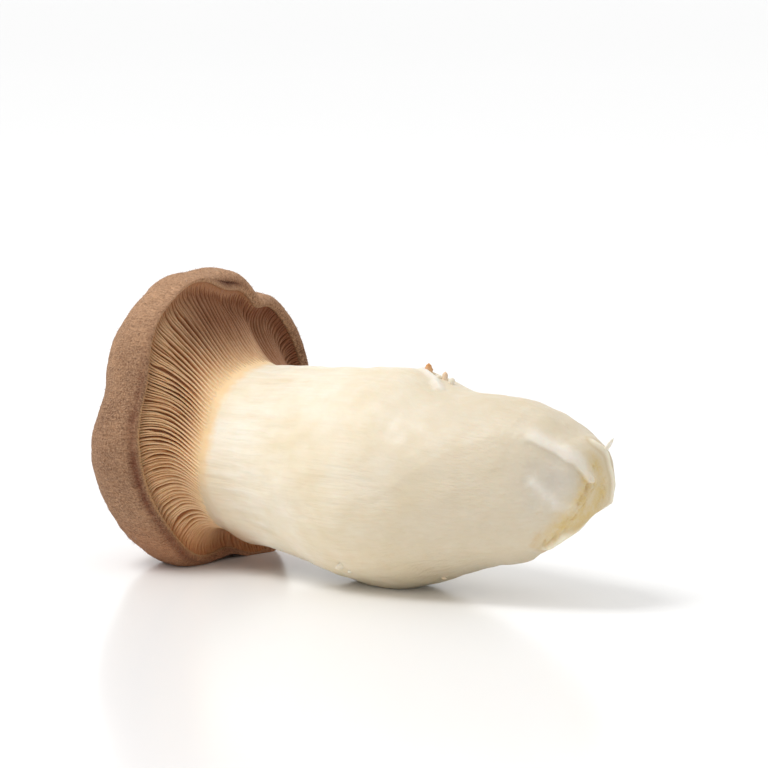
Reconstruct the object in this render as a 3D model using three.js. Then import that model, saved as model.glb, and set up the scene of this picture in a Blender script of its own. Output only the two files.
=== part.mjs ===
// A king oyster mushroom, as picked, lying on its side.
//
// The mushroom is one piece of flesh: a thick-rimmed cap, the trumpet of gills under it, and a stout
// stem that swells to a belly and closes in a blunt cut base. Its skin is a stack of closed rings. Each
// ring takes its distance along the stem and its radius from one outline, and is then drawn out of
// round by lobes and a fold in the cap's rim, and by dents in the cap and the base.
//
// Frame: millimetres, +Z up, +X from the cap to the base. The part rests on two lobes of its rim and on
// its belly, all pressed a little flat, and the origin is under its middle, on that surface.
import * as THREE from "three";

// ---- Driving dimensions. "At" is a distance from the crown, along the axis. ----
const CAP_RADIUS = 33; // the widest part of the cap
const CAP_AT = 18;
const MARGIN_RADIUS = 29.5; // the edge of the cap, where the gills start
const MARGIN_AT = 23.5;
const NECK_RADIUS = 20.3; // the stem where the gills have run out
const NECK_AT = 34;
const BELLY_RADIUS = 23.9; // the thickest part of the stem
const BELLY_AT = 73;
const SHANK_RADIUS = 18.3; // between belly and base
const SHANK_AT = 102;
const BASE_RADIUS = 11.6; // the edge of the blunt cut end
const BASE_AT = 122;
const LENGTH = 127;
const PRESSED = 0.6; // how far the places that it rests on are pressed flat

const SIDES = 64;
const RINGS = { crown: 9, rim: 6, gills: 7, neck: 9, shank: 8, taper: 5, base: 4 };

// ---- Outline: curves of distance along the axis, and distance out from it ----
const OUTLINE = {
  crown: bezier([0, 0], [0, 15.5], [6.5, CAP_RADIUS], [CAP_AT, CAP_RADIUS]),
  rim: bezier(
    [CAP_AT, CAP_RADIUS],
    [CAP_AT + 5, CAP_RADIUS],
    [MARGIN_AT + 3, MARGIN_RADIUS + 2],
    [MARGIN_AT, MARGIN_RADIUS],
  ),
  gills: bezier(
    [MARGIN_AT, MARGIN_RADIUS],
    [MARGIN_AT - 3, MARGIN_RADIUS - 3.5],
    [NECK_AT - 8, NECK_RADIUS + 0.3],
    [NECK_AT, NECK_RADIUS],
  ),
  neck: bezier(
    [NECK_AT, NECK_RADIUS],
    [NECK_AT + 17, NECK_RADIUS],
    [BELLY_AT - 12, BELLY_RADIUS],
    [BELLY_AT, BELLY_RADIUS],
  ),
  shank: bezier(
    [BELLY_AT, BELLY_RADIUS],
    [BELLY_AT + 10, BELLY_RADIUS],
    [SHANK_AT - 12, SHANK_RADIUS + 1.7],
    [SHANK_AT, SHANK_RADIUS],
  ),
  taper: bezier(
    [SHANK_AT, SHANK_RADIUS],
    [SHANK_AT + 8, SHANK_RADIUS - 1.1],
    [BASE_AT - 5, BASE_RADIUS + 3.5],
    [BASE_AT, BASE_RADIUS],
  ),
  base: bezier(
    [BASE_AT, BASE_RADIUS],
    [LENGTH - 1.6, BASE_RADIUS - 1.6],
    [LENGTH + 0.2, BASE_RADIUS - 4.6],
    [LENGTH, 0],
  ),
};

function bezier(...corners) {
  return new THREE.CubicBezierCurve(...corners.map((c) => new THREE.Vector2(...c)));
}

// ---- Height of the axis above the resting surface, at distances along it ----
const AXIS_HEIGHTS = [
  { at: 0, z: 28 },
  { at: CAP_AT, z: 32.7 },
  { at: MARGIN_AT, z: 32.7 },
  { at: NECK_AT + 4, z: 25.6 },
  { at: BELLY_AT, z: BELLY_RADIUS - PRESSED },
  { at: LENGTH, z: 27 },
];

function axisHeight(along) {
  const after = AXIS_HEIGHTS.findIndex((knot) => along <= knot.at);
  if (after < 1) return along <= 0 ? AXIS_HEIGHTS[0].z : AXIS_HEIGHTS.at(-1).z;
  const [a, b] = AXIS_HEIGHTS.slice(after - 1, after + 1);
  const share = THREE.MathUtils.smoothstep(along, a.at, b.at);
  return THREE.MathUtils.lerp(a.z, b.z, share);
}

// ---- Swells: places that stand out, or in, from the outline ----
// Each is a soft bump about one place on the skin: `at` along the axis and `turn` degrees round it, from
// the top over the +Y side. It fades over `length` millimetres and `width` degrees. It moves the skin
// `out` from the axis and `on` towards the base.
const RIM = { at: MARGIN_AT - 2, length: 13 };
const SWELLS = [
  { ...RIM, turn: 6, width: 10, out: 1.3, on: 0 }, // the rim beside the fold
  { ...RIM, turn: 23, width: 8, out: -3, on: 1 }, // the fold
  { ...RIM, turn: 153, width: 13, out: 3.8, on: 1 }, // far resting lobe
  { ...RIM, turn: 178, width: 9, out: -1.5, on: 0 }, // lifted between the resting lobes
  { ...RIM, turn: 203, width: 15, out: 2.5, on: 1.5 }, // near resting lobe
  { ...RIM, turn: 290, width: 15, out: -2.2, on: -0.5 }, // wave in the near rim
  { ...RIM, turn: 316, width: 16, out: 1.8, on: 0 },
  { ...RIM, turn: 341, width: 14, out: 1.6, on: 0 },
  { at: 9, length: 10, turn: 293, width: 20, out: -2, on: 0 }, // hollow in the crown
  { at: 92, length: 8, turn: 5, width: 35, out: -0.9, on: 0 }, // behind the belly's shoulder
  { at: 121.5, length: 5.5, turn: 354, width: 34, out: -1.7, on: 0 }, // slope above the base
  { at: 122.5, length: 6, turn: 276, width: 27, out: -2.2, on: 0 }, // dent in the base
];

function swell(at, turn) {
  let out = 0;
  let on = 0;
  for (const place of SWELLS) {
    const aside = THREE.MathUtils.euclideanModulo(turn - place.turn + 180, 360) - 180;
    const share = Math.exp(-(((at - place.at) / place.length) ** 2) - (aside / place.width) ** 2);
    out += share * place.out;
    on += share * place.on;
  }
  return { out, on };
}

// ---- Skin ----
function skinPoint(at, radius, turn) {
  const { out, on } = swell(at, turn);
  const round = THREE.MathUtils.degToRad(turn);
  const reach = radius + out * Math.min(1, radius / BASE_RADIUS);
  const z = axisHeight(at) + reach * Math.cos(round);
  return new THREE.Vector3(at + on, reach * Math.sin(round), Math.max(z, 0));
}

function skin() {
  const points = [skinPoint(0, 0, 0)];
  let rings = 0;
  for (const [name, curve] of Object.entries(OUTLINE))
    for (const { x: at, y: radius } of curve.getPoints(RINGS[name]).slice(1)) {
      if (radius === 0) continue; // the end of the base is one point, added below
      for (let side = 0; side < SIDES; side++)
        points.push(skinPoint(at, radius, (360 * side) / SIDES));
      rings++;
    }
  points.push(skinPoint(LENGTH, 0, 0));

  const faces = [];
  const corner = (ring, side) => 1 + ring * SIDES + (side % SIDES);
  const last = points.length - 1;
  for (let side = 0; side < SIDES; side++) {
    faces.push(0, corner(0, side), corner(0, side + 1));
    for (let ring = 0; ring < rings - 1; ring++) {
      const [a, b] = [corner(ring, side), corner(ring, side + 1)];
      const [c, d] = [corner(ring + 1, side), corner(ring + 1, side + 1)];
      faces.push(a, c, d, a, d, b);
    }
    faces.push(last, corner(rings - 1, side + 1), corner(rings - 1, side));
  }
  return new THREE.BufferGeometry().setFromPoints(points).setIndex(faces);
}

const geometry = skin();
geometry.computeVertexNormals();
const mushroom = new THREE.Mesh(
  geometry,
  new THREE.MeshStandardMaterial({ color: 0xefe4cf, roughness: 0.6, metalness: 0 }),
);
mushroom.name = "mushroom";

geometry.computeBoundingBox();
const middle = geometry.boundingBox.getCenter(new THREE.Vector3());
mushroom.position.set(-middle.x, -middle.y, 0);

const part = new THREE.Group();
part.add(mushroom);
export default part;
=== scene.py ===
# %% [markdown]
# # A king oyster mushroom
#
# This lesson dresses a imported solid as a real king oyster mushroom: a felted brown cap with a rolled
# rim, a trumpet of thin gills, and a stout white stem whose base was cut with a knife. The solid gives
# the size and the place of everything. Blender adds what the eye looks for: the blades, the fibres, the
# creases in the base, and a finish for each kind of flesh.
#
# The frame comes first. Every length below is in millimetres of mushroom, and `MM` turns one of them
# into the frame's metres, so the model follows the solid if its size ever changes.

# %% Load the frame
import math

import bpy
import numpy as np
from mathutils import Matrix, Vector, noise


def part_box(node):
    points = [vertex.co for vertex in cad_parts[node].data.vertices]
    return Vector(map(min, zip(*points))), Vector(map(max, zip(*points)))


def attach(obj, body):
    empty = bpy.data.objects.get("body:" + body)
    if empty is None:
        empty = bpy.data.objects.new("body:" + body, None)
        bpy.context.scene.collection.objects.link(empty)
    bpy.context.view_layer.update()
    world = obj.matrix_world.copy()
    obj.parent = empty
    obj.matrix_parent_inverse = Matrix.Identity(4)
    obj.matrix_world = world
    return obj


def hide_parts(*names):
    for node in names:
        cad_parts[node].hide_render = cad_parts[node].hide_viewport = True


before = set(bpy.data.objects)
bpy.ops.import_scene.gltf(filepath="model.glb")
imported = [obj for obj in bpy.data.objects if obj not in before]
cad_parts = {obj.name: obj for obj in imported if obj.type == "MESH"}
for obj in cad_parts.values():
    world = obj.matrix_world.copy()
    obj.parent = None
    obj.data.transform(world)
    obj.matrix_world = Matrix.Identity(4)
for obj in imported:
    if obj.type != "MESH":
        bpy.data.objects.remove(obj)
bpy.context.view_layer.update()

LENGTH = 127.0  # crown to the end of the base
low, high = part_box("mushroom")
MM = (high.x - low.x) / LENGTH
print(f"the solid is {(high.x - low.x) * 1000:.1f} mm long, so one millimetre is {MM:.6f} m here")

# %% [markdown]
# ## The camera
#
# The mushroom lies with its gills turned half towards us. A long lens from three quarters of a metre
# keeps the cap and the base at nearly their true sizes, as a studio photographer would.

# %% Camera
VIEW_AZIMUTH = math.radians(38)
VIEW_PITCH = math.radians(7)
VIEW_DISTANCE = 0.75
LENS_MM = 160
LOOK_RIGHT, LOOK_UP = 6.4, 44  # where the camera aims, from the middle of the mushroom and the table

towards_camera = Vector((
    math.sin(VIEW_AZIMUTH) * math.cos(VIEW_PITCH),
    -math.cos(VIEW_AZIMUTH) * math.cos(VIEW_PITCH),
    math.sin(VIEW_PITCH),
))
look_at = Vector(
    ((low.x + high.x) / 2 + LOOK_RIGHT * MM, (low.y + high.y) / 2, low.z + LOOK_UP * MM)
)


def add_object(name, data):
    made = bpy.data.objects.new(name, data)
    bpy.context.scene.collection.objects.link(made)
    return made


camera = add_object("camera", bpy.data.cameras.new("camera"))
camera.data.lens = LENS_MM
camera.data.sensor_width = 36
camera.data.clip_end = 100
camera.location = look_at + towards_camera * VIEW_DISTANCE
camera.rotation_euler = (-towards_camera).to_track_quat("-Z", "Y").to_euler()
bpy.context.scene.camera = camera
print("the camera is at", [round(v, 3) for v in camera.location])

# %% [markdown]
# ## The outline
#
# A mushroom grows round an axis, so its shape is mostly one outline turned round that axis. The curves
# below are the solid's own: distance from the crown along the axis, then radius. `evenly` walks a curve
# in equal steps, because equal steps of a Bezier curve's parameter bunch up in its tight turns.

# %% Outline curves
CAP_RADIUS, CAP_AT = 33.0, 18.0
MARGIN_RADIUS, MARGIN_AT = 29.5, 23.5
NECK_RADIUS, NECK_AT = 20.3, 34.0
BELLY_RADIUS, BELLY_AT = 23.9, 73.0
SHANK_RADIUS, SHANK_AT = 18.3, 102.0
BASE_RADIUS, BASE_AT = 11.6, 122.0
PRESSED = 0.6

CROWN = [(0, 0), (0, 15.5), (6.5, CAP_RADIUS), (CAP_AT, CAP_RADIUS)]
RIM = [
    (CAP_AT, CAP_RADIUS),
    (CAP_AT + 5, CAP_RADIUS),
    (MARGIN_AT + 3, MARGIN_RADIUS + 2),
    (MARGIN_AT, MARGIN_RADIUS),
]
GILLS = [
    (MARGIN_AT, MARGIN_RADIUS),
    (MARGIN_AT - 3, MARGIN_RADIUS - 3.5),
    (NECK_AT - 8, NECK_RADIUS + 0.3),
    (NECK_AT, NECK_RADIUS),
]
NECK = [
    (NECK_AT, NECK_RADIUS),
    (NECK_AT + 17, NECK_RADIUS),
    (BELLY_AT - 12, BELLY_RADIUS),
    (BELLY_AT, BELLY_RADIUS),
]
SHANK = [
    (BELLY_AT, BELLY_RADIUS),
    (BELLY_AT + 10, BELLY_RADIUS),
    (SHANK_AT - 12, SHANK_RADIUS + 1.7),
    (SHANK_AT, SHANK_RADIUS),
]
TAPER = [
    (SHANK_AT, SHANK_RADIUS),
    (SHANK_AT + 8, SHANK_RADIUS - 1.1),
    (BASE_AT - 5, BASE_RADIUS + 3.5),
    (BASE_AT, BASE_RADIUS),
]
BASE = [
    (BASE_AT, BASE_RADIUS),
    (LENGTH - 1.6, BASE_RADIUS - 1.6),
    (LENGTH + 0.2, BASE_RADIUS - 4.6),
    (LENGTH, 0),
]


def bezier(corners, share):
    """Points of a Bezier curve at these shares, 0 to 1, of its parameter."""
    a, b, c, d = np.array(corners, float)
    t = np.asarray(share)[:, None]
    return a * (1 - t) ** 3 + 3 * b * t * (1 - t) ** 2 + 3 * c * t**2 * (1 - t) + d * t**3


def walked_along(stations):
    """Distance walked from the first of a line of (along, radius) stations."""
    return np.concatenate([[0], np.cumsum(np.linalg.norm(np.diff(stations, axis=0), axis=1))])


def evenly(corners, count, crowd=1.0):
    """count points along a curve, its start left out; crowd above 1 packs them towards its end."""
    fine = bezier(corners, np.linspace(0, 1, 400))
    walked = walked_along(fine)
    wanted = (1 - (1 - np.arange(1, count + 1) / count) ** crowd) * walked[-1]
    return np.column_stack([np.interp(wanted, walked, fine[:, k]) for k in (0, 1)])


# %% [markdown]
# ## Lobes and bends
#
# No mushroom is perfectly round. The axis rises from the stem to the middle of the cap, and soft bumps
# push the skin in and out: the lobes that the cap rests on, the fold in the top of its rim, the wave in
# its near side and the dent in the base. These are the solid's own bumps. `MARGIN_SHIFTS` then move only
# the edge where the gills start, which the solid keeps simple, and `HOLLOW_IN` draws in the hollow behind
# the top of the rim. `skin` joins it all, in millimetres.

# %% Skin
AXIS_AT = [0, CAP_AT, MARGIN_AT, NECK_AT + 4, BELLY_AT, LENGTH]
AXIS_Z = [28, 32.7, 32.7, 25.6, BELLY_RADIUS - PRESSED, 27]
RIM_PLACE = (MARGIN_AT - 2, 13)
SWELLS = [  # (along, length), turn, width, out, on
    (RIM_PLACE, 6, 10, 1.3, 0),
    (RIM_PLACE, 23, 8, -3, 1),
    (RIM_PLACE, 153, 13, 3.8, 1),
    (RIM_PLACE, 178, 9, -1.5, 0),
    (RIM_PLACE, 203, 15, 2.5, 1.5),
    (RIM_PLACE, 290, 15, -2.2, -0.5),
    (RIM_PLACE, 316, 16, 1.8, 0),
    (RIM_PLACE, 341, 14, 1.6, 0),
    ((9, 10), 293, 20, -2, 0),
    ((92, 8), 5, 35, -0.9, 0),
    ((121.5, 5.5), 354, 34, -1.7, 0),
    ((122.5, 6), 276, 27, -2.2, 0),
]
MARGIN_SHIFTS = [  # turn, width, out
    (336, 34, 2.1),
    (4, 10, -2.4),
    (166, 20, 2.4),
]
HOLLOW_IN = 1.3


def ease(value, start, end):
    """0 before start, 1 after end, and a smooth climb between; start may be the larger."""
    t = np.clip((value - start) / (end - start), 0, 1)
    return t * t * (3 - 2 * t)


def hump(value, middle, width):
    return np.exp(-(((value - middle) / width) ** 2))


def turn_hump(turn, middle, width):
    """A hump round the axis, in degrees, that knows that 359 is next to 0."""
    return hump((turn - middle + 180) % 360, 180, width)


def axis_z(at):
    height = np.full_like(at, AXIS_Z[0])
    for before, after, z0, z1 in zip(AXIS_AT, AXIS_AT[1:], AXIS_Z, AXIS_Z[1:]):
        height = np.where(at > before, z0 + (z1 - z0) * ease(at, before, after), height)
    return height


def skin(at, radius, turn):
    """Points of the skin at distances along the axis, radii, and turns in degrees from the top."""
    at, radius, turn = np.broadcast_arrays(*(np.asarray(v, float) for v in (at, radius, turn)))
    out, on = np.zeros(at.shape), np.zeros(at.shape)
    for (middle, length), swell_turn, width, swell_out, swell_on in SWELLS:
        share = hump(at, middle, length) * turn_hump(turn, swell_turn, width)
        out += share * swell_out
        on += share * swell_on
    at_margin = hump(at, MARGIN_AT, 3) * ease(radius, 33, 30.5) * ease(radius, 20, 27)
    for margin_turn, width, margin_out in MARGIN_SHIFTS:
        out += at_margin * margin_out * turn_hump(turn, margin_turn, width)
    out -= HOLLOW_IN * turn_hump(turn, 356, 45) * hump(at, 31, 7) * ease(radius, 30, 27)
    reach = radius + out * np.minimum(1, radius / BASE_RADIUS)
    across, up = reach * np.sin(np.radians(turn)), reach * np.cos(np.radians(turn))
    return np.stack([at + on, across, axis_z(at) + up], -1)


def skin_rings(stations, turns):
    """One ring of skin for each (along, radius) station, with a point at every turn."""
    return skin(stations[:, :1], stations[:, 1:], np.asarray(turns)[None, :])


def outwards(rings):
    """The outward direction at every point of a stack of rings."""
    along = np.gradient(rings, axis=0)
    around = np.roll(rings, -1, 1) - np.roll(rings, 1, 1)
    normal = np.cross(along, around)
    return normal / np.maximum(np.linalg.norm(normal, axis=-1, keepdims=True), 1e-9)


# A coarse copy of the skin is enough to find its middle.
whole = np.vstack([evenly(curve, 24) for curve in (CROWN, RIM, GILLS, NECK, SHANK, TAPER)])
sideways = skin_rings(whole, np.arange(0, 360, 2.0))[..., 1]
MIDDLE_Y = (low.y + high.y) / 2 - MM * (sideways.min() + sideways.max()) / 2


def to_frame(points):
    """Millimetres from the crown, made metres in the frame and kept above the resting surface."""
    placed = np.array(points, float) * MM + (low.x, MIDDLE_Y, low.z)
    placed[..., 2] = np.maximum(placed[..., 2], low.z)
    return placed


print(f"the axis runs {MIDDLE_Y * 1000:.2f} mm beside the frame's middle")

# %% [markdown]
# ## From rings to a mesh
#
# Two helpers serve every grown surface. `unevenness` is soft random noise: real skin is never as smooth
# as a curve. `shell` sews a stack of rings into one closed mesh with a pole at each end, and stores
# named numbers on its points, which the materials read later.

# %% Mesh helpers
def unevenness(points, size, seed, stretch=1.0, octaves=3):
    """Noise of about -1 to 1 whose lumps are `size` across, and `stretch` times longer along X."""
    scaled = points / np.array([size * stretch, size, size]) + seed * 17.3
    flat = [noise.fractal(Vector(p), 0.8, 2.0, octaves) for p in scaled.reshape(-1, 3)]
    return np.array(flat).reshape(points.shape[:-1])


def shell(name, first, rings, last, notes):
    """A closed mesh through a pole, a stack of rings and a second pole."""
    count, sides = rings.shape[:2]
    points = np.vstack([[first], rings.reshape(-1, 3), [last]])
    ring, side = np.meshgrid(np.arange(count - 1), np.arange(sides), indexing="ij")
    a = 1 + ring * sides + side
    b = 1 + ring * sides + (side + 1) % sides
    quads = np.stack([a, a + sides, b + sides, b], -1).reshape(-1, 4).tolist()
    at_first = [(0, 1 + s, 1 + (s + 1) % sides) for s in range(sides)]
    rim = 1 + (count - 1) * sides
    at_last = [(rim + s, len(points) - 1, rim + (s + 1) % sides) for s in range(sides)]
    mesh = bpy.data.meshes.new(name)
    mesh.from_pydata(to_frame(points).tolist(), [], quads + at_first + at_last)
    for note, values in notes.items():
        column = np.broadcast_to(values, (count, sides)).ravel()
        column = np.concatenate([[column[0]], column, [column[-1]]])
        mesh.attributes.new(note, "FLOAT", "POINT").data.foreach_set("value", column)
    mesh.shade_smooth()
    print(f"{name}: {len(mesh.polygons)} faces")
    return add_object(name, mesh)


# %% [markdown]
# ## The hollow under the cap
#
# The gills fill a trumpet-shaped hollow. The solid stops at their edges, so the flesh that they grow
# from has to lie deeper: nearly two millimetres at the widest place, and nothing where the gills run
# out on the stem. `run` is 0 at the margin of the cap and 1 where the gills end, and everything in the
# hollow is measured by it. The mushroom grew sideways, so its gills reach further down the stem on the
# upper side than on the lower.

# %% Hollow
SIDES = 320
TURNS = np.arange(SIDES) * 360 / SIDES
GILL_DEPTH = 1.8
MARGIN_DEPTH = 0.6

RIM_POINTS, GILL_POINTS, NECK_POINTS = 60, 200, 120  # of the line that the gills run down
GILLS_FROM, GILLS_TO = RIM_POINTS, RIM_POINTS + GILL_POINTS

gill_line = np.vstack(
    [evenly(RIM, 200)[-RIM_POINTS:], evenly(GILLS, GILL_POINTS), evenly(NECK, 200)[:NECK_POINTS]]
)
gill_walk = walked_along(gill_line)
gill_walk -= gill_walk[GILLS_FROM - 1]
GILL_SPAN = gill_walk[GILLS_TO - 1]


def gill_reach(turn):
    """How far the gills run down the stem, as a share of the hollow's own length."""
    return 1.02 + 0.03 * turn_hump(turn, 335, 36) - 0.3 * turn_hump(turn, 198, 42)


def hollow(run, turn):
    """Points of the hollow's skin, where run is 1 at the end of the gills whatever the turn."""
    walked = GILL_SPAN * run * np.where(run > 0, gill_reach(turn), 1)
    at, radius = (np.interp(walked, gill_walk, gill_line[:, k]) for k in (0, 1))
    return skin(at, radius, turn)


def bed_depth(run, turn):
    """How deep the flesh lies under the edges of the gills."""
    deep = MARGIN_DEPTH + (GILL_DEPTH - MARGIN_DEPTH) * ease(run, 0, 0.3)
    deep = deep * (1 - ease(run, 0.45, 1.05))
    deep = deep * (1 - 0.85 * turn_hump(turn, 358, 30) * (1 - ease(run, 0.05, 0.3)))
    return deep * (1 - 0.45 * turn_hump(turn, 212, 34) - 0.45 * turn_hump(turn, 350, 48))


print(f"the gills are {GILL_SPAN * gill_reach(270):.1f} mm long on the near side")

# %% [markdown]
# ## The skin of the cap
#
# The cap is a thick cushion. Its brown skin rolls over the rim, dips into a groove on the near side, and
# ends in a fine pale edge, the margin. A short slit opens in the top of the rim, beside the
# fold. The rings crowd towards the margin, because that is where the shape changes fastest. Behind the
# margin the mesh closes through the flesh, a millimetre behind the gill bed, where nobody sees it.

# %% Cap
SLIT_TURN, SLIT_AT = 2, 1.5  # round the cap, and millimetres from the margin
BACK_WALL = 1.0  # thickness of the flesh behind the gill bed
CAP_INSIDE = (17, 12)  # along and radius of the last ring, hidden in the flesh
CROWN_RINGS, RIM_RINGS, BEHIND_RINGS = 84, 60, 12

outer = np.vstack([evenly(CROWN, CROWN_RINGS), evenly(RIM, RIM_RINGS, crowd=1.6)])
cap_rings = skin_rings(outer, TURNS)
cap_out = outwards(cap_rings)
steps = np.linalg.norm(np.diff(outer, axis=0), axis=1)
to_margin = np.concatenate([np.cumsum(steps[::-1])[::-1], [0]])[:, None]

lip_at = 0.2 + 1.0 * turn_hump(TURNS, 275, 50)[None, :]
# How strongly the groove shows round the cap. It is deepest on the near side, and there its dark colour is
# partly a bruise and partly painted shade in the hollow.
groove_by_turn = 0.2 + turn_hump(TURNS, 250, 38) + 0.4 * turn_hump(TURNS, 205, 20)
groove = hump(to_margin, lip_at + 2.0, 1.3) * groove_by_turn[None, :]
lip = hump(to_margin, lip_at, 0.3) * (0.15 + 0.85 * turn_hump(TURNS, 240, 62))[None, :]
slit = turn_hump(TURNS, SLIT_TURN, 7)[None, :] * hump(to_margin, SLIT_AT, 0.7)
flushed = turn_hump(TURNS, SLIT_TURN, 10)[None, :] * hump(to_margin, SLIT_AT, 1.3)
under_slit = turn_hump(TURNS, SLIT_TURN, 9)[None, :] * hump(to_margin, 0.3, 0.5)
lumps = 0.45 * unevenness(cap_rings, 12, 1) + 0.12 * unevenness(cap_rings, 2.2, 2)
lumps = lumps * ease(to_margin, 0.2, 2) - 0.6 * groove + 0.45 * lip
lumps = lumps - 2.0 * slit + 0.5 * under_slit
cap_rings = cap_rings + cap_out * lumps[..., None]

behind_run = np.linspace(0.03, 0.5, BEHIND_RINGS)[:, None]
behind_rings = hollow(behind_run, TURNS)
behind_rings -= outwards(behind_rings) * (bed_depth(behind_run, TURNS) + BACK_WALL)[..., None]
inner_rings = skin(*CAP_INSIDE, TURNS[None, :])
hidden = np.zeros((len(behind_rings) + 1, SIDES))
cap_notes = {
    "to_margin": np.vstack([to_margin + np.zeros(SIDES), hidden]),
    "bruise_and_groove_shade": np.vstack([groove + 0.3 * flushed, hidden]),
    "crease": np.vstack([slit, hidden]),
    "pale_edge": np.vstack([lip, hidden]),
}
cap = shell(
    "cap_skin",
    skin(0, 0, 0),
    np.vstack([cap_rings, behind_rings, inner_rings]),
    skin(CAP_INSIDE[0], 0, 0),
    cap_notes,
)

# %% [markdown]
# ## Marks on the base
#
# A knife took the mushroom off its block. It left a slanting cut under the end, a sunken facet on the
# near side with a loose fold of skin above it and a film across it, a thin lip round the cut, and creases,
# seams and spots that turned yellow. Each mark is a line of a few places on the skin, as (along, radius,
# turn). Distance to the line, in space, decides how far the skin rises or sinks and how much it stains.
# `ragged` shakes the points before they are measured, because a torn edge is never a smooth line.

# %% Marks
FOLD = [(117.2, 14.2, 319), (120, 13, 318), (122.6, 11.2, 318), (125, 9, 317)]
FOLD += [(126.6, 5.2, 311), (126.9, 3.6, 298)]
UNDER_FOLD = [(117.8, 14.0, 309), (120, 12.9, 307), (122.6, 11.0, 305), (125, 8.6, 301)]
UNDER_FOLD += [(126.5, 5.4, 292), (126.9, 3.6, 278)]
FILM = [(118.3, 12.8, 276), (120, 12, 266), (122.2, 10.9, 252), (124.4, 9.6, 242), (125.6, 8.3, 236)]
CREASE = [(126.8, 3.4, 300), (126.8, 3.6, 262), (126.3, 6.0, 240), (125.6, 8.0, 230)]
CREASE += [(123.4, 10.6, 223), (121, 12.2, 214), (118.4, 13.8, 203)]
SEAMS = [
    [(126.9, 2.4, 330), (126.9, 2.4, 250), (125.9, 7.2, 226), (123.6, 10.2, 216), (120, 13, 203)],
    [(124.6, 9.3, 233), (122.6, 11.2, 228), (119.4, 13.2, 214), (117, 14.4, 205)],
    [(126.6, 4.6, 344), (126.9, 2.6, 10), (126.8, 3.2, 110), (126.3, 5.8, 160)],
]
STAIN = [(126.6, 4.4, 345), (126.9, 2.2, 20), (126.9, 3, 150), (126.3, 5.5, 185), (125, 8.4, 205)]
SPOTS = [
    [(119.4, 12.8, 245), (121.2, 12.0, 241), (122.8, 11.0, 240)],
    [(116.0, 14.9, 211), (117.4, 14.3, 217), (118.6, 13.7, 222)],
]
CHIP = [(78.6, 23.4, 7), (80.6, 23.1, 5), (83.7, 22.2, 1), (87, 21.1, 353)]
LIP = [(124.3, 9.6, 15), (125.6, 8.0, 38), (126.4, 6.2, 62), (126.2, 6.6, 100), (125.6, 8.0, 128)]
LIP += [(125, 8.6, 165), (124.2, 9.4, 192), (121.4, 11.8, 202), (117.5, 14.2, 200)]


def line_distance(points, *lines):
    """Distance from every point to the nearest of some lines of (along, radius, turn) places."""
    nearest = np.full(points.shape[:-1], np.inf)
    for places in lines:
        ends = [skin(*place) for place in places]
        for a, b in zip(ends, ends[1:]):
            share = np.clip((points - a) @ (b - a) / ((b - a) @ (b - a)), 0, 1)
            gap = np.linalg.norm(points - (a + share[..., None] * (b - a)), axis=-1)
            nearest = np.minimum(nearest, gap)
    return nearest


def pare(points, place, facing, share=1.0):
    """Moves what stands beyond a plane back towards it, as a knife does."""
    facing = np.array(facing, float)
    facing /= np.linalg.norm(facing)
    proud = np.maximum((points - skin(*place)) @ facing, 0)
    return points - (share * proud)[..., None] * facing


def ragged(points, size, amount, seed):
    """The points pushed about at random, so that a line measured from them comes out uneven."""
    pushes = [unevenness(points, size, seed + axis, octaves=2) for axis in range(3)]
    return points + amount * np.stack(pushes, -1)


print("marks on the base:", len(FOLD) + len(CREASE) + len(LIP), "places for fold, crease and lip")

# %% [markdown]
# ## The flesh: gill bed, stem and base
#
# One mesh runs from inside the cap, over the gill bed, along the stem and round the cut base, because
# the real flesh has no seam there. The relief is added along the outward direction: soft lumps, creases
# that run lengthwise and are deepest near the neck, and then the marks. What a material needs to know
# about a place goes on its points as a note, and lines go as distances, which stay sharp between points.

# %% Stem
MEET_LENGTH = 20  # millimetres of stem over which its rings learn to follow the end of the gills
KNIFE_PLACE, KNIFE_FACING = (120.3, 12.5, 197), (0.53, 0.29, -0.79)
FACET_FACING = (0.43, -0.89, -0.13)
FAR = 9.0  # millimetres from a line, past which it has no effect
BED_RINGS = 48
STEM_RINGS = (96, 70, 60, 34)
FLESH_INSIDE = [(16, 12), (15, 24), (19, 30)]  # rings that close the mesh inside the cap

bed_run = np.linspace(-0.02, 1.0, BED_RINGS)[:, None]
bed_rings = hollow(bed_run, TURNS)
bed_rings -= outwards(bed_rings) * bed_depth(bed_run, TURNS)[..., None]

stem = np.vstack([evenly(*part) for part in zip((NECK, SHANK, TAPER, BASE), STEM_RINGS)])[:-1]
stem_walk = walked_along(stem)
gills_end = GILL_SPAN * gill_reach(TURNS)[None, :]
meet = np.clip((stem_walk / MEET_LENGTH)[:, None], 0, 1)
ring_walk = GILL_SPAN + stem_walk[:, None] + (gills_end - GILL_SPAN + 0.4) * (1 - meet) ** 2
line = np.vstack([gill_line[:GILLS_TO], stem])
line_walk = np.concatenate([gill_walk[:GILLS_TO], GILL_SPAN + stem_walk])
line_walk[GILLS_TO:] = np.maximum(line_walk[GILLS_TO:], GILL_SPAN + 1e-6)
stem_at, stem_radius = (np.interp(ring_walk, line_walk, line[:, k]) for k in (0, 1))
stem_rings = skin(stem_at, stem_radius, TURNS[None, :])
stem_out = outwards(stem_rings)

facet = hump(stem_at, 122.5, 6) * turn_hump(TURNS, 278, 33)[None, :]
stem_rings = pare(stem_rings, FOLD[0], FACET_FACING, share=0.3)
stem_rings = pare(stem_rings, KNIFE_PLACE, KNIFE_FACING)
loose = ragged(stem_rings, 3.0, 0.5, 20)
frayed = ragged(stem_rings, 1.6, 0.4, 30)
to_fold, to_under = line_distance(loose, FOLD), line_distance(loose, UNDER_FOLD)
to_film, to_chip = line_distance(frayed, FILM), line_distance(frayed, CHIP)
to_crease = line_distance(frayed, CREASE)
to_seam = line_distance(frayed, *SEAMS)
to_lip, to_stain = line_distance(ragged(stem_rings, 5, 0.5, 40), LIP), line_distance(loose, STAIN)
to_spot = line_distance(frayed, *SPOTS)

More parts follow.
